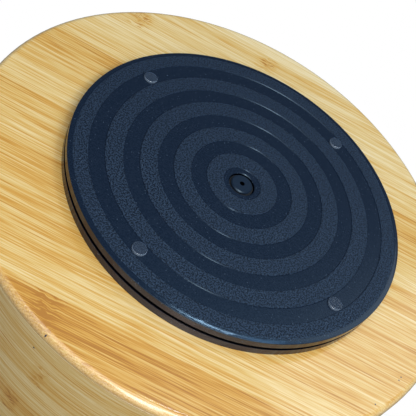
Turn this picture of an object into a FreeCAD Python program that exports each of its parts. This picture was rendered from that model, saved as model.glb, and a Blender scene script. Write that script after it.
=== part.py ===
"""Round bamboo bin on a ball-bearing turntable. Millimetres, +Z up.

The origin is on the table, under the centre of the round bin. The turntable's pivot stands a few
millimetres to one side, because its plates are screwed to the bin a little off centre.
From the table up: stick-on feet, base plate, balls in their cage, top plate, base board, wall.
"""
import FreeCAD, Part
import math
import os

from FreeCAD import Vector

# Places of the two axes
BIN_OFFSET_X = 3.3          # bin centre seen from the pivot
BIN_OFFSET_Y = -0.7

# Turntable plates
PLATE_RADIUS = 78.0
BASE_FLOOR = 1.9            # floor of the base plate, measured at a raised band
TOP_FLOOR = 2.0
RIM_WALL = 2.2              # thickness of both upstanding rims
BASE_RIM_HEIGHT = 3.6
RIM_GAP = 1.4               # open slot between the two rims
CROWN_WIDTH = 2.0           # outermost part of the base plate, which falls away gently
CROWN_DROP = 0.25
RIM_CORNER_RADIUS = 0.2

# Raised and sunken bands under the base plate
LAND_COUNT = 5
GROOVE_DEPTH = 0.35
GROOVE_SLOPE = 0.3          # radial run of each step
RIM_LAND_WIDTH = 8.6
GATE_RADIUS = 0.55          # moulding gate left in the innermost groove
GATE_HEIGHT = 0.25
GATE_ANGLE = -131.0

# Stick-on feet, placed by hand, so not quite evenly
FOOT_RADIUS = 3.175
FOOT_HEIGHT = 1.0
FOOT_EDGE_RADIUS = 0.35
FOOT_SIDE_CLEARANCE = 0.55
FOOT_ANGLES = (22.1, 114.6, 206.6, 287.5)

# Balls, their cage and the two races
BALL_RADIUS = 4.7625 / 2.0  # 3/16 inch steel balls
BALL_COUNT = 12
RACE_CLEARANCE = 0.03       # under and over each ball
RACE_INSET = 17.8           # from the inside of the rim to the ball circle
RACE_SIDE_CLEARANCE = 0.37
RACE_RIB_WALL = 1.6
CAGE_HALF_WIDTH = 4.5
CAGE_THICKNESS = 1.4
CAGE_CLEARANCE = 0.35       # between the cage and the race ribs
POCKET_CLEARANCE = 0.15     # radial, round each ball

# Pivot
HUB_RADIUS = 8.9            # smooth ring round the pivot, and the hub above it
PIN_HEAD_RADIUS = 5.0
PIN_HEAD_THICKNESS = 1.3
PIN_HEAD_BEVEL = 0.5
PIN_HEAD_SIDE_GAP = 1.05
PIN_HEAD_RECESS = 0.1       # how far the head lies above the raised bands
PIN_HOLE_CHAMFER = 0.35     # round the mouth of the counterbore
PIN_SHANK_RADIUS = 2.6
PIN_HOLE_RADIUS = 1.15      # blind hole in the head
PIN_HOLE_DEPTH = 3.0
PIN_RUNNING_CLEARANCE = 0.05
WASHER_THICKNESS = 0.4
WASHER_SIDE_CLEARANCE = 0.4
PIN_AXIAL_PLAY = 0.05
HUB_WEB = 1.7               # length of the hub's bore
BOSS_CLEARANCE = 0.15       # between hub and top boss
BOSS_WALL = 3.9
SOCKET_CAP = 0.8            # top plate left over the pin

# Screws that hold the top plate to the board
SCREW_COUNT = 4
SCREW_INSET = 15.5          # from the cage to the screw circle
SCREW_FIRST_ANGLE = 45.0
SCREW_RADIUS = 1.6
SCREW_HEAD_RADIUS = 3.1
SCREW_LENGTH = 7.0          # whole length, head included
SCREW_TIP = 1.4
SCREW_CLEARANCE = 0.15      # round head and shank in the top plate
PILOT_CLEARANCE = 0.03

# Bamboo bin
BIN_RADIUS = 114.0
WALL_THICKNESS = 8.0
WALL_HEIGHT = 87.0
WALL_TOP_RADIUS = 2.8
BOARD_EDGE_RADIUS = 3.1
BOARD_FLANGE = 3.5          # edge of the board that the wall stands on
BOARD_PLUG = 5.5            # part of the board inside the wall
PLUG_CLEARANCE = 0.1
SEAM_CHAMFER = 0.3          # fine V-groove where board and wall meet

# Heights that follow from the sizes above
LAND_Z = FOOT_HEIGHT - GROOVE_DEPTH
GROOVE_Z = FOOT_HEIGHT
BASE_FLOOR_Z = LAND_Z + BASE_FLOOR
TOP_FLOOR_Z = BASE_FLOOR_Z + 2 * (BALL_RADIUS + RACE_CLEARANCE)
PLATE_TOP_Z = TOP_FLOOR_Z + TOP_FLOOR
BALL_Z = (BASE_FLOOR_Z + TOP_FLOOR_Z) / 2
BASE_RIM_Z = LAND_Z + BASE_RIM_HEIGHT
TOP_RIM_Z = BASE_RIM_Z + RIM_GAP
CAGE_LOW_Z = BALL_Z - CAGE_THICKNESS / 2
CAGE_HIGH_Z = BALL_Z + CAGE_THICKNESS / 2
HEAD_LOW_Z = LAND_Z + PIN_HEAD_RECESS
HEAD_HIGH_Z = HEAD_LOW_Z + PIN_HEAD_THICKNESS
COUNTERBORE_Z = HEAD_HIGH_Z + WASHER_THICKNESS + PIN_AXIAL_PLAY
HUB_Z = COUNTERBORE_Z + HUB_WEB
BOSS_Z = HUB_Z + BOSS_CLEARANCE
PIN_TOP_Z = PLATE_TOP_Z - SOCKET_CAP
FLANGE_Z = PLATE_TOP_Z + BOARD_FLANGE
BIN_FLOOR_Z = FLANGE_Z + BOARD_PLUG
BIN_TOP_Z = FLANGE_Z + WALL_HEIGHT

# Radii that follow from the sizes above
RIM_INNER_RADIUS = PLATE_RADIUS - RIM_WALL
CROWN_RADIUS = (CROWN_WIDTH ** 2 + CROWN_DROP ** 2) / (2 * CROWN_DROP)
GROOVE_WIDTH = 2 * (FOOT_RADIUS + FOOT_SIDE_CLEARANCE)
BAND_PITCH = (PLATE_RADIUS - RIM_LAND_WIDTH - HUB_RADIUS) / (LAND_COUNT - 1)
FOOT_CIRCLE_RADIUS = PLATE_RADIUS - RIM_LAND_WIDTH - GROOVE_WIDTH / 2
BALL_CIRCLE_RADIUS = RIM_INNER_RADIUS - RACE_INSET
RACE_HALF_WIDTH = BALL_RADIUS + RACE_SIDE_CLEARANCE
COUNTERBORE_RADIUS = PIN_HEAD_RADIUS + PIN_HEAD_SIDE_GAP
SCREW_CIRCLE_RADIUS = BALL_CIRCLE_RADIUS - CAGE_HALF_WIDTH - SCREW_INSET
WALL_INNER_RADIUS = BIN_RADIUS - WALL_THICKNESS

Z_AXIS = Vector(0, 0, 1)
PIVOT = Vector(-BIN_OFFSET_X, -BIN_OFFSET_Y, 0)


def disc(radius, low, high):
    return Part.makeCylinder(radius, high - low, Vector(0, 0, low))


def ring(inner, outer, low, high):
    return disc(outer, low, high).cut(disc(inner, low, high))


def turned(outline):
    """Solid of revolution about Z from (radius, height) corners in order."""
    corners = [Vector(radius, 0, height) for radius, height in outline]
    face = Part.Face(Part.makePolygon(corners + corners[:1]))
    return face.revolve(Vector(0, 0, 0), Z_AXIS, 360)


def around(angle, radius, height=0.0):
    """Point at an angle in degrees on a circle about the Z axis."""
    turn = math.radians(angle)
    return Vector(radius * math.cos(turn), radius * math.sin(turn), height)


def spread(count, first=0.0):
    """Evenly spread angles in degrees."""
    return [first + 360.0 * step / count for step in range(count)]


def round_edges(shape, size, places):
    """Round the circular edges that have the given (radius, height)."""
    chosen = []
    for edge in shape.Edges:
        if not isinstance(edge.Curve, Part.Circle):
            continue
        for radius, height in places:
            same_radius = abs(edge.Curve.Radius - radius) < 1e-4
            same_height = abs(edge.Curve.Center.z - height) < 1e-4
            if same_radius and same_height:
                chosen.append(edge)
    return shape.makeFillet(size, chosen)


def groove_inner(step):
    """Inner radius of a sunken band, counted from the middle."""
    return HUB_RADIUS + (step + 1) * BAND_PITCH - GROOVE_WIDTH


def band_groove(step):
    """Sunken band with sloping sides, cut upwards from the raised bands."""
    inner = groove_inner(step)
    outer = inner + GROOVE_WIDTH
    return turned([
        (inner, LAND_Z),
        (inner + GROOVE_SLOPE, GROOVE_Z),
        (outer - GROOVE_SLOPE, GROOVE_Z),
        (outer, LAND_Z),
    ])


def hub_recess():
    """Smooth sunken ring round the pivot hole."""
    return turned([
        (0, LAND_Z),
        (HUB_RADIUS, LAND_Z),
        (HUB_RADIUS - GROOVE_SLOPE, GROOVE_Z),
        (0, GROOVE_Z),
    ])


def pin_counterbore():
    """Pocket for the pin's head, with a chamfered mouth."""
    return turned([
        (0, LAND_Z),
        (COUNTERBORE_RADIUS + PIN_HOLE_CHAMFER, LAND_Z),
        (COUNTERBORE_RADIUS + PIN_HOLE_CHAMFER, GROOVE_Z),
        (COUNTERBORE_RADIUS, GROOVE_Z + PIN_HOLE_CHAMFER),
        (COUNTERBORE_RADIUS, COUNTERBORE_Z),
        (0, COUNTERBORE_Z),
    ])


def race_ribs(low, high):
    """The two ribs that keep the balls on their circle."""
    inner = BALL_CIRCLE_RADIUS - RACE_HALF_WIDTH
    outer = BALL_CIRCLE_RADIUS + RACE_HALF_WIDTH
    inside = ring(inner - RACE_RIB_WALL, inner, low, high)
    outside = ring(outer, outer + RACE_RIB_WALL, low, high)
    return [inside, outside]


def rim_crown():
    """Sliver turned off the base plate's lower edge, outside a shallow arc."""
    start = PLATE_RADIUS - CROWN_WIDTH
    arc_centre = Vector(0, 0, LAND_Z + CROWN_RADIUS)
    sliver = ring(start, PLATE_RADIUS, LAND_Z, LAND_Z + CROWN_DROP)
    return sliver.cut(Part.makeTorus(start, CROWN_RADIUS, arc_centre))


def make_base_plate():
    plate = disc(PLATE_RADIUS, LAND_Z, BASE_RIM_Z)
    plate = plate.cut(disc(RIM_INNER_RADIUS, BASE_FLOOR_Z, BASE_RIM_Z))
    plate = plate.cut(rim_crown())
    corners = [
        (PLATE_RADIUS, LAND_Z + CROWN_DROP),
        (PLATE_RADIUS, BASE_RIM_Z),
        (RIM_INNER_RADIUS, BASE_RIM_Z),
    ]
    plate = round_edges(plate, RIM_CORNER_RADIUS, corners)
    hub = disc(HUB_RADIUS, BASE_FLOOR_Z, HUB_Z)
    ribs = race_ribs(BASE_FLOOR_Z, CAGE_LOW_Z - CAGE_CLEARANCE)
    gate_place = around(GATE_ANGLE, groove_inner(0) + GROOVE_SLOPE, GROOVE_Z - GATE_HEIGHT)
    gate = Part.makeCylinder(GATE_RADIUS, GATE_HEIGHT, gate_place)
    grooves = [band_groove(step) for step in range(LAND_COUNT - 1)]
    plate = plate.cut(grooves + [hub_recess()])
    plate = plate.fuse(ribs + [hub, gate])
    bore = disc(PIN_SHANK_RADIUS + PIN_RUNNING_CLEARANCE, LAND_Z, HUB_Z)
    return plate.cut([bore, pin_counterbore()]).removeSplitter()


def make_foot(angle):
    foot = disc(FOOT_RADIUS, 0, FOOT_HEIGHT)
    foot = round_edges(foot, FOOT_EDGE_RADIUS, [(FOOT_RADIUS, 0)])
    foot.translate(around(angle, FOOT_CIRCLE_RADIUS))
    return foot


def make_pivot_pin():
    pin = turned([
        (0, HEAD_LOW_Z),
        (PIN_HEAD_RADIUS - PIN_HEAD_BEVEL, HEAD_LOW_Z),
        (PIN_HEAD_RADIUS, HEAD_LOW_Z + PIN_HEAD_BEVEL),
        (PIN_HEAD_RADIUS, HEAD_HIGH_Z),
        (PIN_SHANK_RADIUS, HEAD_HIGH_Z),
        (PIN_SHANK_RADIUS, PIN_TOP_Z),
        (0, PIN_TOP_Z),
    ])
    return pin.cut(disc(PIN_HOLE_RADIUS, HEAD_LOW_Z, HEAD_LOW_Z + PIN_HOLE_DEPTH))


def make_pivot_washer():
    inner = PIN_SHANK_RADIUS + PIN_RUNNING_CLEARANCE
    outer = COUNTERBORE_RADIUS - WASHER_SIDE_CLEARANCE
    return ring(inner, outer, HEAD_HIGH_Z, HEAD_HIGH_Z + WASHER_THICKNESS)


def ball_centre(angle):
    return around(angle, BALL_CIRCLE_RADIUS, BALL_Z)


def make_ball_cage():
    inner = BALL_CIRCLE_RADIUS - CAGE_HALF_WIDTH
    outer = BALL_CIRCLE_RADIUS + CAGE_HALF_WIDTH
    cage = ring(inner, outer, CAGE_LOW_Z, CAGE_HIGH_Z)
    pockets = []
    for angle in spread(BALL_COUNT):
        pocket = disc(BALL_RADIUS + POCKET_CLEARANCE, CAGE_LOW_Z, CAGE_HIGH_Z)
        pocket.translate(around(angle, BALL_CIRCLE_RADIUS))
        pockets.append(pocket)
    return cage.cut(pockets)


def make_ball(angle):
    return Part.makeSphere(BALL_RADIUS, ball_centre(angle))


def screw_outline(clearance, high, tip):
    """Countersunk screw pointing up, or with a clearance the hole for one."""
    head = SCREW_HEAD_RADIUS + clearance
    shank = SCREW_RADIUS + clearance
    return [
        (0, TOP_FLOOR_Z),
        (head, TOP_FLOOR_Z),
        (shank, TOP_FLOOR_Z + head - shank),
        (shank, high - tip),
        (0, high),
    ]


def screw_places():
    angles = spread(SCREW_COUNT, SCREW_FIRST_ANGLE)
    return [around(angle, SCREW_CIRCLE_RADIUS) for angle in angles]


def screw_group(outline):
    """The same turned shape at every screw place."""
    group = []
    for place in screw_places():
        screw = turned(outline)
        screw.translate(place)
        group.append(screw)
    return group


def make_screws():
    outline = screw_outline(0, TOP_FLOOR_Z + SCREW_LENGTH, SCREW_TIP)
    return Part.makeCompound(screw_group(outline))


def screw_clearances():
    """Countersunk holes through the top plate."""
    return screw_group(screw_outline(SCREW_CLEARANCE, PLATE_TOP_Z, 0))


def screw_pilots():
    """Holes that the screws fill in the board, about the Z axis like the screws."""
    tip_z = TOP_FLOOR_Z + SCREW_LENGTH + PILOT_CLEARANCE
    return screw_group(screw_outline(PILOT_CLEARANCE, tip_z, SCREW_TIP))


def make_top_plate():
    plate = disc(PLATE_RADIUS, TOP_RIM_Z, PLATE_TOP_Z)
    plate = plate.cut(disc(RIM_INNER_RADIUS, TOP_RIM_Z, TOP_FLOOR_Z))
    corners = [
        (PLATE_RADIUS, TOP_RIM_Z),
        (PLATE_RADIUS, PLATE_TOP_Z),
        (RIM_INNER_RADIUS, TOP_RIM_Z),
    ]
    plate = round_edges(plate, RIM_CORNER_RADIUS, corners)
    boss = disc(PIN_SHANK_RADIUS + BOSS_WALL, BOSS_Z, TOP_FLOOR_Z)
    ribs = race_ribs(CAGE_HIGH_Z + CAGE_CLEARANCE, TOP_FLOOR_Z)
    plate = plate.fuse(ribs + [boss])
    socket = disc(PIN_SHANK_RADIUS, BOSS_Z, PIN_TOP_Z)
    return plate.cut(screw_clearances() + [socket]).removeSplitter()


def make_base_board():
    """Floor of the bin: a rebated disc whose plug sits inside the wall."""
    board = disc(BIN_RADIUS, PLATE_TOP_Z, FLANGE_Z)
    board = round_edges(board, BOARD_EDGE_RADIUS, [(BIN_RADIUS, PLATE_TOP_Z)])
    seam = turned([
        (BIN_RADIUS - SEAM_CHAMFER, FLANGE_Z),
        (BIN_RADIUS, FLANGE_Z - SEAM_CHAMFER),
        (BIN_RADIUS, FLANGE_Z),
    ])
    plug = disc(WALL_INNER_RADIUS - PLUG_CLEARANCE, FLANGE_Z, BIN_FLOOR_Z)
    return board.cut(seam).fuse(plug).removeSplitter()


def make_bin_wall():
    wall = ring(WALL_INNER_RADIUS, BIN_RADIUS, FLANGE_Z, BIN_TOP_Z)
    rim = [(BIN_RADIUS, BIN_TOP_Z), (WALL_INNER_RADIUS, BIN_TOP_Z)]
    wall = round_edges(wall, WALL_TOP_RADIUS, rim)
    seam = turned([
        (BIN_RADIUS - SEAM_CHAMFER, FLANGE_Z),
        (BIN_RADIUS, FLANGE_Z),
        (BIN_RADIUS, FLANGE_Z + SEAM_CHAMFER),
    ])
    return wall.cut(seam)


def on_pivot(shape):
    """Carry a turntable piece from the Z axis to the pivot."""
    shape.translate(PIVOT)
    return shape


def build():
    parts = {
        "base_plate": on_pivot(make_base_plate()),
        "pivot_pin": on_pivot(make_pivot_pin()),
        "pivot_washer": on_pivot(make_pivot_washer()),
        "ball_cage": on_pivot(make_ball_cage()),
        "top_plate": on_pivot(make_top_plate()),
        "mounting_screws": on_pivot(make_screws()),
    }
    for number, angle in enumerate(FOOT_ANGLES, start=1):
        parts[f"foot_{number}"] = on_pivot(make_foot(angle))
    for number, angle in enumerate(spread(BALL_COUNT), start=1):
        parts[f"ball_{number:02d}"] = on_pivot(make_ball(angle))
    pilots = [on_pivot(pilot) for pilot in screw_pilots()]
    parts["base_board"] = make_base_board().cut(pilots)
    parts["bin_wall"] = make_bin_wall()
    return parts


os.makedirs("parts", exist_ok=True)
for name, shape in build().items():
    assert shape.isValid(), name
    shape.exportStep(f"parts/{name}.step")
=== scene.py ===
import math

import bpy
from mathutils import Matrix, Vector


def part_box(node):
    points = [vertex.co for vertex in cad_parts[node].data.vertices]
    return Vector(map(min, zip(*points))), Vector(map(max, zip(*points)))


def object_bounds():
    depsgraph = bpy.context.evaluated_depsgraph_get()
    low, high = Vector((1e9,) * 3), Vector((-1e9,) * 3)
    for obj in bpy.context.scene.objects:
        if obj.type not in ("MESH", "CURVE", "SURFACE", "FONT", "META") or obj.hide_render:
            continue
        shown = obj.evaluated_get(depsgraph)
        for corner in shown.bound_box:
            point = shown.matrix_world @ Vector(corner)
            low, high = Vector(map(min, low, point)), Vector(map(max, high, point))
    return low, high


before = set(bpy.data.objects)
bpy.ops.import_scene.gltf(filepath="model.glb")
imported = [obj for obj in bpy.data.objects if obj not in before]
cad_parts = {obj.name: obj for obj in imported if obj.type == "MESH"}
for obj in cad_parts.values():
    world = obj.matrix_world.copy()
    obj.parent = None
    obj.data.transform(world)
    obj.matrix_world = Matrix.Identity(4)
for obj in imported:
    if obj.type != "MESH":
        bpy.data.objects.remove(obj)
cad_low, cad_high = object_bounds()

MM = 0.001

# Places on the object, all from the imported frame.
plate_low, plate_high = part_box("base_plate")
wall_low, wall_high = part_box("bin_wall")
PIVOT = (plate_low + plate_high) / 2
FACE_Z = plate_low.z
PLATE_RADIUS = (plate_high.x - plate_low.x) / 2
PEBBLE_RADIUS = PLATE_RADIUS - 2.1 * MM
PEBBLE_SIZE = 0.66 * MM
# The open slot between the two plates, the well round the pin's head and the hole in the head are painted
# unlit as painted shade, the last two from these heights above the underside's face.
RIM_GAP_Z = plate_high.z
RIM_GAP = 1.4 * MM
WELL_RADIUS = 6.4 * MM
WELL_START = 0.7 * MM
PIN_HOLE_RADIUS = 1.3 * MM
PIN_HOLE_START = 0.12 * MM
SEAM_Z = wall_low.z
SEAM_WIDTH = 0.45 * MM
BIN_CENTRE = (wall_low + wall_high) / 2
BIN_RADIUS = (wall_high.x - wall_low.x) / 2
# Bamboo is paler where the sander scuffed it: round the board's edge and along the foot of the wall. On the
# board's rounded edge the paler speckle is also a painted sheen of its glancing highlights.
BOARD_SANDED_AND_SHEEN = 3.0 * MM
WALL_SANDED = 4.0 * MM

# The camera stands below the turntable and looks up at its underside. Its place is in face radii from the
# middle of the underside, and a face radius is a little less than the plate's.
FACE_RADIUS = PLATE_RADIUS / 1.0075
CAMERA_PLACE = Vector((0.083, -3.602, -3.374))
CAMERA_RIGHT = Vector((-0.83268, 0.39646, -0.38660))
CAMERA_UP = Vector((0.55375, 0.59588, -0.58163))
CAMERA_SENSOR = 36.0
CAMERA_LENS = 76.1

# Bamboo: the board is glued up from long strips, and the wall from rows bent round into a ring.
GRAIN_TURN = math.radians(-8.0)
STRIP_WIDTH = 14.8 * MM
STRIP_SHIFT = 1.5 * MM
# How golden each strip is, 0 pale to 1 golden, across the board.
BOARD_TONES = (
    0.25, 0.41, 0.39, 0.40, 0.44, 0.68, 0.56, 0.46,
    0.59, 0.50, 0.66, 0.59, 0.63, 0.52, 0.81, 0.77,
)
# Growth nodes of the bamboo as (strip counted from the pivot, distance along the grain), and pores as
# (distance along the grain, distance across it).
BOARD_NODES = ((-7, 9 * MM), (-6, 76 * MM), (6, 49 * MM), (-3, -160 * MM), (2, 150 * MM))
BOARD_PORES = (
    (-92.1 * MM, 50.5 * MM),
    (-92.8 * MM, 48.5 * MM),
    (-83.6 * MM, 67.1 * MM),
    (44.5 * MM, 106 * MM),
)
ROW_HEIGHT = 14.5 * MM
WALL_TONES = (0.46, 0.52, 0.42, 0.62, 0.45, 0.54)
WALL_NODES = (
    (1, 21 * MM),
    (3, 27 * MM),
    (0, -190 * MM),
    (2, 210 * MM),
    (4, -95 * MM),
    (5, 120 * MM),
    (1, -280 * MM),
)
WALL_PORES = ((28.1 * MM, 8.9 * MM), (-240 * MM, 61 * MM))

# Colours are linear light, red, green and blue.
BAMBOO_STOPS = (
    (0.00, (0.80, 0.68, 0.42)),
    (0.30, (0.73, 0.56, 0.27)),
    (0.50, (0.66, 0.455, 0.155)),
    (0.70, (0.600, 0.335, 0.068)),
    (0.88, (0.52, 0.250, 0.034)),
    (1.00, (0.40, 0.170, 0.022)),
)
PORE_COLOUR = (0.035, 0.035, 0.05)
# Painted shade colour of the line where board and wall meet.
SEAM_SHADE_COLOUR = (0.22, 0.13, 0.05)
# Sanded bamboo's speckle; on the board's rounded edge it also stands in for a painted sheen.
SANDED_DARK = (0.60, 0.41, 0.15)
SANDED_LIGHT = (0.84, 0.69, 0.42)
# Painted shade colour for the slot, the well and the pin's hole.
UNLIT = (0.0006, 0.0010, 0.0018)
# Painted reflection colours for the plate's shine: cool on the underside, brownish where the side walls
# mirror the bamboo.
COOL_REFLECTION_TINT = (0.55, 0.80, 1.0)
BAMBOO_REFLECTION_TINT = (1.0, 0.80, 0.76)

LEVEL = (1.0, 1.0, 0.0)
UP = (0.0, 0.0, 1.0)


class Tree:
    """One material and short calls that add nodes to it. Each call returns the new node's output socket."""

    def __init__(self, name):
        self.material = bpy.data.materials.new(name)
        self.material.use_nodes = True
        self.tree = self.material.node_tree
        self.tree.nodes.clear()

    def node(self, kind, inputs=(), **settings):
        """Adds a node, sets its properties and fills its inputs, by place or name."""
        made = self.tree.nodes.new(kind)
        for key, value in settings.items():
            setattr(made, key, value)
        for key, value in dict(inputs).items():
            if isinstance(value, bpy.types.NodeSocket):
                self.tree.links.new(value, made.inputs[key])
            else:
                made.inputs[key].default_value = value
        return made

    def math(self, operation, *values, clamp=False):
        return self.node("ShaderNodeMath", enumerate(values), operation=operation, use_clamp=clamp).outputs[0]

    def plus(self, first, second):
        return self.math("ADD", first, second)

    def minus(self, first, second):
        return self.math("SUBTRACT", first, second)

    def times(self, first, second):
        return self.math("MULTIPLY", first, second)

    def smooth(self, value, start, end):
        """0 before start and 1 after end, eased in between."""
        made = self.node("ShaderNodeMapRange", {0: value, 1: start, 2: end}, interpolation_type="SMOOTHSTEP")
        return made.outputs[0]

    def fade(self, value, start, end):
        """1 before start and 0 after end, eased in between."""
        return self.minus(1.0, self.smooth(value, start, end))

    def place(self):
        """The point on the piece in the row frame at rest."""
        return self.node("ShaderNodeTexCoord").outputs["Object"]

    def height(self, level):
        """How far the point is above a level."""
        return self.dot(self.shifted(self.place(), (0.0, 0.0, level)), UP)

    def radius(self, centre):
        """How far the point is from the upright axis through centre."""
        away = self.shifted(self.place(), tuple(centre))
        flat = self.node("ShaderNodeVectorMath", {0: away, 1: LEVEL}, operation="MULTIPLY")
        made = self.node("ShaderNodeVectorMath", {0: flat.outputs[0]}, operation="LENGTH")
        return made.outputs["Value"]

    def dot(self, vector, direction):
        """How far vector reaches along direction."""
        made = self.node("ShaderNodeVectorMath", {0: vector, 1: direction}, operation="DOT_PRODUCT")
        return made.outputs["Value"]

    def shifted(self, vector, origin):
        made = self.node("ShaderNodeVectorMath", {0: vector, 1: origin}, operation="SUBTRACT")
        return made.outputs[0]

    def combine(self, x, y, z):
        return self.node("ShaderNodeCombineXYZ", enumerate((x, y, z))).outputs[0]

    def noise(self, vector, size, detail=2.0, roughness=0.5, shift=0.0):
        """Noise between 0 and 1 whose spots are size long, in metres, in each direction."""
        scale = tuple(1.0 / s for s in size)
        turned = self.node("ShaderNodeMapping", {"Vector": vector, "Scale": scale, "Location": (shift,) * 3})
        inputs = {"Vector": turned.outputs[0], "Scale": 1.0, "Detail": detail, "Roughness": roughness}
        return self.node("ShaderNodeTexNoise", inputs).outputs[0]

    def random(self, value):
        return self.node("ShaderNodeTexWhiteNoise", {"W": value}, noise_dimensions="1D").outputs[0]

    def ramp(self, value, stops, interpolation="LINEAR"):
        made = self.node("ShaderNodeValToRGB", {0: value})
        made.color_ramp.interpolation = interpolation
        points = made.color_ramp.elements
        while len(points) < len(stops):
            points.new(1.0)
        for point, (place, colour) in zip(points, stops):
            point.position = place
            point.color = (*colour, 1.0)
        return made.outputs[0]

    def mix(self, share, first, second, blend="MIX"):
        """A colour, from first at share 0 to second at 1."""
        made = self.node("ShaderNodeMix", data_type="RGBA", blend_type=blend)
        for key, value in ((0, share), (6, first), (7, second)):
            if isinstance(value, bpy.types.NodeSocket):
                self.tree.links.new(value, made.inputs[key])
            elif key == 0:
                made.inputs[key].default_value = value
            else:
                made.inputs[key].default_value = (*value, 1.0)
        return made.outputs[2]

    def bump(self, height, distance, strength=1.0):
        inputs = {"Height": height, "Distance": distance, "Strength": strength}
        return self.node("ShaderNodeBump", inputs).outputs[0]

    def surface(self, colour, roughness, normal=None, **constants):
        """Ends the material in one Principled shader. A constant's name has _ for a space."""
        inputs = {"Base Color": colour, "Roughness": roughness}
        if normal is not None:
            inputs["Normal"] = normal
        for key, value in constants.items():
            inputs[key.replace("_", " ")] = value
        shader = self.node("ShaderNodeBsdfPrincipled", inputs)
        self.node("ShaderNodeOutputMaterial", {"Surface": shader.outputs[0]})
        return self.material


def strip_tones(t, index, count, tones):
    """Each strip's own tone, as a stepped ramp over the strips' numbers."""
    share = t.math("DIVIDE", t.plus(index, 0.5), count)
    stops = [(i / count, (tone,) * 3) for i, tone in enumerate(tones)]
    return t.ramp(share, stops, "CONSTANT")


def node_zones(t, along, index, marks, half_length):
    """1 in the middle of each growth node, and 0 outside."""
    zones = 0.0
    for strip, middle in marks:
        distance = t.math("ABSOLUTE", t.minus(along, middle))
        near = t.fade(distance, 0.15 * half_length, half_length)
        own = t.math("COMPARE", index, float(strip), 0.5)
        zones = t.plus(zones, t.times(near, own))
    return zones


def bamboo_look(t, along, across, depth, index, tone, zones):
    """Colour, roughness and height of laminated bamboo. Along, across and depth are metres in the strips."""
    own = t.random(index)
    slid = t.plus(along, t.times(own, 3.0))
    flat = t.combine(slid, across, depth)

    # Fibres wander a little, and swirl at a growth node.
    wander = t.minus(t.noise(flat, (0.07, 0.02, 0.02), 1.0), 0.5)
    swirl = t.minus(t.noise(flat, (0.0045, 0.003, 0.003), 1.0, shift=7.0), 0.5)
    bend = t.times(wander, 1.0 * MM)
    curl = t.times(t.times(swirl, zones), 3.0 * MM)
    across_bent = t.plus(across, t.plus(bend, curl))
    grain = t.combine(slid, across_bent, depth)

    broad = t.noise(grain, (0.16, 0.0045, 0.0045), 1.0)
    streak = t.noise(grain, (0.055, 0.0011, 0.0011), 4.0, 0.80, shift=3.0)
    fibre = t.smooth(t.noise(grain, (0.028, 0.00055, 0.00055), 2.0, 0.6, shift=5.0), 0.30, 0.70)
    line = t.smooth(t.noise(grain, (0.045, 0.0008, 0.0008), 1.0, shift=9.0), 0.62, 0.70)

    value = tone
    for part, strength in ((broad, 0.40), (streak, 0.68), (fibre, 0.44)):
        swing = t.times(t.minus(part, 0.5), strength)
        value = t.plus(value, swing)
    value = t.plus(value, t.times(line, 0.17))

    # A growth node is more golden, with short curled dashes.
    dash = t.smooth(t.noise(grain, (0.0034, 0.0006, 0.0006), 2.0, shift=11.0), 0.46, 0.60)
    clump = t.smooth(t.noise(grain, (0.010, 0.004, 0.004), 1.0, shift=15.0), 0.38, 0.58)
    marks = t.times(dash, t.plus(0.10, t.times(clump, 0.40)))
    marked = t.times(zones, t.plus(0.05, marks))
    value = t.plus(value, marked)

    colour = t.ramp(value, BAMBOO_STOPS)
    roughness = t.plus(0.40, t.times(fibre, 0.16))
    height = t.plus(t.times(streak, 0.5), t.times(fibre, 0.5))
    return colour, roughness, height


def pores(t, colour, along, across, places, radius):
    """Tiny dark pinholes at these places."""
    for place_along, place_across in places:
        step_along = t.minus(along, place_along)
        step_across = t.minus(across, place_across)
        square = t.plus(t.math("POWER", step_along, 2.0), t.math("POWER", step_across, 2.0))
        inside = t.fade(t.math("SQRT", square), 0.5 * radius, radius)
        colour = t.mix(inside, colour, PORE_COLOUR)
    return colour


def sanded_and_sheen(t, colour, share):
    """Paler and finely speckled, where the fibres are cut across or scuffed by the sander; on the board's
    rounded edge this is also a painted sheen.
    """
    speck = t.smooth(t.noise(t.place(), (0.5 * MM,) * 3, 2.0, 0.6, shift=13.0), 0.36, 0.66)
    speckled = t.mix(speck, SANDED_DARK, SANDED_LIGHT)
    return t.mix(t.times(share, 0.45), colour, speckled)


def seam_shade_line(t, colour):
    """A thin painted shade line where board and wall meet."""
    away = t.math("ABSOLUTE", t.height(SEAM_Z))
    near = t.fade(away, 0.20 * MM, SEAM_WIDTH)
    return t.mix(t.times(near, 0.6), colour, SEAM_SHADE_COLOUR)


def bamboo_board():
    """Straight strips side by side, so the rounded edge shows end grain where it cuts across them."""
    t = Tree("bamboo_board")
    here = t.shifted(t.place(), tuple(PIVOT))
    along = t.dot(here, (math.cos(GRAIN_TURN), math.sin(GRAIN_TURN), 0.0))
    across = t.dot(here, (math.sin(GRAIN_TURN), -math.cos(GRAIN_TURN), 0.0))
    depth = t.height(PIVOT.z)
    strip = t.math("FLOOR", t.math("DIVIDE", t.minus(across, STRIP_SHIFT), STRIP_WIDTH))
    count = len(BOARD_TONES)
    tone = strip_tones(t, t.plus(strip, count / 2), count, BOARD_TONES)
    zones = node_zones(t, along, strip, BOARD_NODES, 8.0 * MM)
    colour, roughness, height = bamboo_look(t, along, across, depth, strip, tone, zones)
    # The rounded edge is paler: sanded end grain, and also a painted sheen of its glancing highlights.
    edge = t.smooth(t.radius(BIN_CENTRE), BIN_RADIUS - BOARD_SANDED_AND_SHEEN, BIN_RADIUS - 0.2 * BOARD_SANDED_AND_SHEEN)
    colour = sanded_and_sheen(t, colour, edge)
    colour = seam_shade_line(t, colour)
    colour = pores(t, colour, along, across, BOARD_PORES, 0.45 * MM)
    return t.surface(
        colour, roughness, t.bump(height, 0.03 * MM, 0.6),
        Coat_Weight=1.0, Coat_Roughness=0.12, Coat_IOR=1.60, Specular_IOR_Level=0.3,
    )


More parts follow.
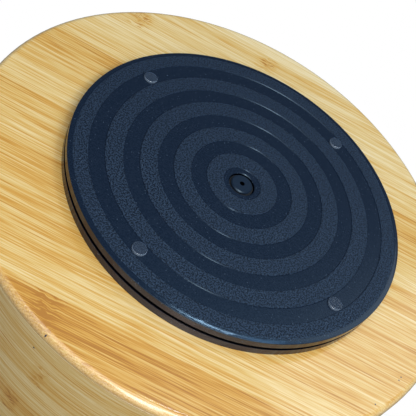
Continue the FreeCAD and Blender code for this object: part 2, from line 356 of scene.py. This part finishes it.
def bamboo_wall():
    """Rows bent round into a ring, so the grain follows the wall."""
    t = Tree("bamboo_wall")
    here = t.shifted(t.place(), tuple(BIN_CENTRE))
    parts = t.node("ShaderNodeSeparateXYZ", {0: here}).outputs
    # The ring's glued joint is where the angle starts, on the side towards +Y.
    angle = t.math("ARCTAN2", parts[0], t.times(parts[1], -1.0))
    along = t.times(angle, BIN_RADIUS)
    depth = t.radius(BIN_CENTRE)
    across = t.height(SEAM_Z)
    row = t.math("FLOOR", t.math("DIVIDE", across, ROW_HEIGHT))
    tone = strip_tones(t, row, len(WALL_TONES), WALL_TONES)
    zones = node_zones(t, along, row, WALL_NODES, 5.0 * MM)
    colour, roughness, height = bamboo_look(t, along, across, depth, row, tone, zones)
    foot = t.fade(across, 0.5 * WALL_SANDED, WALL_SANDED)
    colour = sanded_and_sheen(t, colour, t.times(foot, 0.3))
    colour = seam_shade_line(t, colour)
    colour = pores(t, colour, along, across, WALL_PORES, 0.55 * MM)
    return t.surface(
        colour, roughness, t.bump(height, 0.03 * MM, 0.6),
        Coat_Weight=0.6, Coat_Roughness=0.16, Coat_IOR=1.45, Specular_IOR_Level=0.3,
    )


def plate_plastic():
    """Moulded dark plastic. The raised rings of the underside are pebbled, and the rest is smooth."""
    t = Tree("plate_plastic")
    here = t.place()
    depth = t.height(FACE_Z)
    radius = t.radius(PIVOT)
    low = t.fade(depth, 0.05 * MM, 0.12 * MM)
    inner = t.fade(radius, PEBBLE_RADIUS - 0.5 * MM, PEBBLE_RADIUS)
    raised = t.times(low, inner)
    pebble = t.smooth(t.noise(here, (PEBBLE_SIZE,) * 3, 1.0, 0.6), 0.41, 0.59)
    speck = t.noise(here, (0.9 * MM,) * 3, 1.0, 0.5, shift=4.0)
    faint = t.noise(here, (0.03, 0.03, 0.03), 2.0)
    smooth_colour = t.mix(faint, (0.0030, 0.0078, 0.0190), (0.0045, 0.0100, 0.0230))
    smooth_colour = t.mix(t.times(pebble, 0.25), smooth_colour, (0.016, 0.024, 0.042))
    pebble_colour = t.mix(pebble, (0.000, 0.000, 0.004), (0.022, 0.038, 0.068))
    colour = t.mix(raised, smooth_colour, pebble_colour)
    dust = t.smooth(speck, 0.70, 0.76)
    colour = t.mix(t.times(dust, 0.6), colour, (0.07, 0.10, 0.14))

    # Painted shade: the slot between the rims and the well beside the pin's head get the unlit colour and no
    # shine.
    above = t.height(RIM_GAP_Z)
    slot = t.minus(t.smooth(above, -0.12 * MM, 0.0), t.smooth(above, RIM_GAP, RIM_GAP + 0.12 * MM))
    near_pin = t.fade(radius, WELL_RADIUS - 0.1 * MM, WELL_RADIUS)
    well = t.times(near_pin, t.smooth(depth, WELL_START, WELL_START + 0.2 * MM))
    painted_shade = t.math("MAXIMUM", slot, well)
    colour = t.mix(painted_shade, colour, UNLIT)
    shine = t.times(t.minus(1.0, painted_shade), t.minus(0.45, t.times(raised, 0.15)))

    # Painted reflection colour: the shine is tinted bluish on the underside and brownish on the side walls,
    # where the bamboo is mirrored.
    beyond = t.smooth(radius, PEBBLE_RADIUS, PEBBLE_RADIUS + 1.0 * MM)
    outer = t.times(t.smooth(depth, 0.5 * MM, 0.8 * MM), beyond)
    painted_reflection_tint = t.mix(outer, COOL_REFLECTION_TINT, BAMBOO_REFLECTION_TINT)
    polished = t.smooth(radius, PEBBLE_RADIUS - 0.3 * MM, PEBBLE_RADIUS + 0.3 * MM)
    roughness = t.plus(0.24, t.times(raised, 0.26))
    roughness = t.minus(roughness, t.times(polished, 0.07))
    height = t.times(pebble, t.plus(0.02, raised))
    return t.surface(
        colour, roughness, t.bump(height, 0.05 * MM, 0.8),
        Specular_IOR_Level=shine, Specular_Tint=painted_reflection_tint,
    )


def pin_plastic():
    """The pin's worn head, with fine scuffs along one way, a hole in its middle painted unlit as painted
    shade, and a bluish tint on its shine as a painted reflection colour.
    """
    t = Tree("pin_plastic")
    here = t.place()
    scuff = t.noise(here, (1.2 * MM, 0.25 * MM, 0.25 * MM), 3.0, 0.6)
    colour = t.mix(scuff, (0.0030, 0.0080, 0.019), (0.008, 0.016, 0.031))
    roughness = t.plus(0.24, t.times(scuff, 0.16))
    # Painted shade: the hole in the head gets the unlit colour and no shine.
    inside = t.fade(t.radius(PIVOT), PIN_HOLE_RADIUS - 0.1 * MM, PIN_HOLE_RADIUS)
    hole_shade = t.times(inside, t.smooth(t.height(FACE_Z), PIN_HOLE_START, PIN_HOLE_START + 0.18 * MM))
    colour = t.mix(hole_shade, colour, UNLIT)
    shine = t.times(t.minus(1.0, hole_shade), 0.5)
    return t.surface(
        colour, roughness, t.bump(scuff, 0.02 * MM, 0.3),
        Specular_IOR_Level=shine, Specular_Tint=(0.60, 0.82, 1.0, 1.0),
    )


def soft_plastic(name, painted_shade, light, rough, grain):
    """Plain moulded plastic with a fine grain: the washer and the ball cage."""
    t = Tree(name)
    here = t.place()
    fine = t.noise(here, (grain,) * 3, 3.0, 0.6)
    broad = t.noise(here, (12 * grain,) * 3, 2.0, 0.5, shift=2.0)
    colour = t.mix(t.times(t.plus(fine, broad), 0.5), painted_shade, light)
    roughness = t.plus(rough, t.times(fine, 0.12))
    return t.surface(colour, roughness, t.bump(fine, 0.03 * MM, 0.4), Specular_IOR_Level=0.45)


def bright_steel(name, painted_shade, light, rough, streak):
    """Ground steel with fine wear marks: the balls and the screws."""
    t = Tree(name)
    here = t.place()
    wear = t.noise(here, streak, 4.0, 0.65)
    colour = t.mix(wear, painted_shade, light)
    roughness = t.plus(rough, t.times(wear, 0.14))
    return t.surface(colour, roughness, t.bump(wear, 0.01 * MM, 0.3), Metallic=1.0)


def foot_rubber():
    """Clear, slightly milky silicone."""
    t = Tree("foot_rubber")
    here = t.place()
    haze = t.noise(here, (0.8 * MM,) * 3, 3.0, 0.6)
    colour = t.mix(haze, (0.21, 0.34, 0.56), (0.27, 0.40, 0.62))
    # Painted highlight: the rounded edge is painted lighter than the flat face.
    edge = t.smooth(t.height(cad_low.z), 0.02 * MM, 0.10 * MM)
    colour = t.mix(edge, colour, (0.50, 0.66, 0.88))
    roughness = t.plus(0.14, t.times(haze, 0.06))
    clear = t.minus(0.90, t.times(edge, 0.14))
    return t.surface(colour, roughness, Transmission_Weight=clear, IOR=1.42)


def dress():
    """Gives every CAD node the material of its slot in the record."""
    looks = {
        "plate_plastic": plate_plastic(),
        "pin_plastic": pin_plastic(),
        "washer_nylon": soft_plastic(
            "washer_nylon", (0.0008, 0.0010, 0.0014), (0.0016, 0.0019, 0.0024), 0.60, 0.3 * MM
        ),
        "cage_plastic": soft_plastic(
            "cage_plastic", (0.020, 0.022, 0.026), (0.038, 0.040, 0.045), 0.36, 0.4 * MM
        ),
        "ball_steel": bright_steel(
            "ball_steel", (0.50, 0.51, 0.53), (0.68, 0.69, 0.70), 0.10, (0.4 * MM,) * 3
        ),
        "screw_steel": bright_steel(
            "screw_steel", (0.42, 0.42, 0.43), (0.62, 0.62, 0.62), 0.24, (0.2 * MM, 0.2 * MM, 1.5 * MM)
        ),
        "foot_rubber": foot_rubber(),
        "bamboo_board": bamboo_board(),
        "bamboo_wall": bamboo_wall(),
    }
    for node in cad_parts.values():
        for place in node.material_slots:
            place.material = looks[place.material.name.split(".")[0]]


def make_floor():
    """A pale floor seen from above only, so that the camera can look at the underside from below it."""
    t = Tree("floor")
    mottle = t.noise(t.place(), (0.12, 0.12, 0.12), 2.0)
    colour = t.mix(mottle, (0.78, 0.78, 0.77), (0.82, 0.82, 0.81))
    paint = t.node("ShaderNodeBsdfPrincipled", {"Base Color": colour, "Roughness": 0.6})
    clear = t.node("ShaderNodeBsdfTransparent")
    side = t.node("ShaderNodeNewGeometry").outputs["Backfacing"]
    shown = t.node("ShaderNodeMixShader", {0: side, 1: paint.outputs[0], 2: clear.outputs[0]})
    t.node("ShaderNodeOutputMaterial", {"Surface": shown.outputs[0]})
    reach = 30 * BIN_RADIUS
    mesh = bpy.data.meshes.new("floor")
    turns = ((-1, -1), (1, -1), (1, 1), (-1, 1))
    corners = [(x * reach, y * reach, cad_low.z) for x, y in turns]
    mesh.from_pydata(corners, [], [(0, 1, 2, 3)])
    mesh.materials.append(t.material)
    floor = bpy.data.objects.new("floor", mesh)
    bpy.context.scene.collection.objects.link(floor)
    floor.visible_shadow = False
    floor.visible_diffuse = False
    floor.visible_glossy = False
    floor.visible_transmission = False


def soft_light(name, direction, distance, width, height, power, colour):
    """An area light that faces the object's middle from that direction."""
    data = bpy.data.lights.new(name, "AREA")
    data.shape = "RECTANGLE"
    data.size = width
    data.size_y = height
    data.energy = power
    data.color = colour
    lamp = bpy.data.objects.new(name, data)
    bpy.context.scene.collection.objects.link(lamp)
    towards = Vector(direction).normalized()
    lamp.location = BIN_CENTRE + towards * distance
    lamp.rotation_euler = towards.to_track_quat("Z", "Y").to_euler()


def light_studio():
    """Soft boxes below for the underside and above for the bin, in a dim cool room with a white backdrop."""
    soft_light("key_low", (-0.02, -0.40, -0.90), 1.1, 1.0, 1.0, 6.6, (1.0, 0.97, 0.94))
    soft_light("accent_low", (-0.42, -0.30, -0.85), 1.1, 0.60, 0.22, 4.2, (0.92, 0.96, 1.0))
    soft_light("sheen_low", (-0.45, 0.55, -0.72), 1.2, 0.5, 0.5, 1.2, (0.90, 0.95, 1.0))
    soft_light("rim_low", (-0.13, 0.33, -0.93), 1.1, 0.12, 0.11, 1.3, (0.75, 0.88, 1.0))
    soft_light("rim_long", (-0.36, 0.24, -0.90), 1.1, 0.50, 0.09, 0.8, (0.45, 0.70, 1.0))
    soft_light("edge_low", (-0.20, -0.72, -0.67), 1.1, 0.26, 0.75, 4.6, (1.0, 0.98, 0.96))
    soft_light("side", (-0.30, -0.92, -0.15), 0.7, 0.5, 0.3, 0.5, (1.0, 0.97, 0.94))
    soft_light("top", (0.25, 0.45, 1.0), 1.2, 1.0, 1.0, 16.0, (1.0, 0.99, 0.97))
    world = bpy.data.worlds.new("studio")
    world.use_nodes = True
    nodes, links = world.node_tree.nodes, world.node_tree.links
    nodes.clear()
    room = nodes.new("ShaderNodeBackground")
    room.inputs[0].default_value = (0.12, 0.15, 0.19, 1.0)
    backdrop = nodes.new("ShaderNodeBackground")
    backdrop.inputs[0].default_value = (1.0, 1.0, 1.0, 1.0)
    path = nodes.new("ShaderNodeLightPath")
    choose = nodes.new("ShaderNodeMixShader")
    links.new(path.outputs["Is Camera Ray"], choose.inputs[0])
    links.new(room.outputs[0], choose.inputs[1])
    links.new(backdrop.outputs[0], choose.inputs[2])
    links.new(choose.outputs[0], nodes.new("ShaderNodeOutputWorld").inputs[0])
    bpy.context.scene.world = world
    bpy.context.scene.view_settings.view_transform = "Standard"


def make_camera():
    """The camera turned by its right and up directions, made square to each other."""
    camera = bpy.data.objects.new("camera", bpy.data.cameras.new("camera"))
    bpy.context.scene.collection.objects.link(camera)
    right = CAMERA_RIGHT.normalized()
    back = right.cross(CAMERA_UP).normalized()
    up = back.cross(right)
    turn = Matrix((right, up, back)).transposed().to_4x4()
    place = Vector((PIVOT.x, PIVOT.y, FACE_Z)) + CAMERA_PLACE * FACE_RADIUS
    camera.matrix_world = Matrix.Translation(place) @ turn
    camera.data.sensor_width = CAMERA_SENSOR
    camera.data.lens = CAMERA_LENS
    bpy.context.scene.camera = camera


dress()
make_floor()
light_studio()
make_camera()
